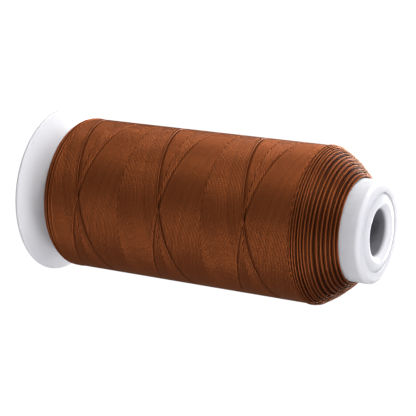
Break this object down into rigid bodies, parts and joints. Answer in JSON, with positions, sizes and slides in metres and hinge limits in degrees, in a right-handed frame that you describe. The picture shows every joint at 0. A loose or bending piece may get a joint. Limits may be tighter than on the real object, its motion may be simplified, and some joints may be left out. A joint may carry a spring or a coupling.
{
  "type": "waxed thread spool",
  "caption": "Upright thread spool: a white moulded core with a wide base flange and a bored nose, full of cross-wound brown waxed thread with a tapered top end.",
  "frame": {"origin": "centre of the base flange's underside, on the table", "axes": "+Z along the spindle axis, from the base flange to the nose; X and Y are free, and the strand leaves the base shoulder at the angle that the source names"},
  "size_m": [0.056, 0.056, 0.1191],
  "materials": {
    "core_plastic": "moulded white polypropylene, soft gloss",
    "waxed_thread": "brown bonded thread with a wax sheen"
  },
  "bodies": {
    "root": {"base_flange": "core_plastic", "barrel": "core_plastic", "nose_bush": "core_plastic", "thread_layers": "waxed_thread", "outer_winding": "waxed_thread"}
  },
  "joints": []
}
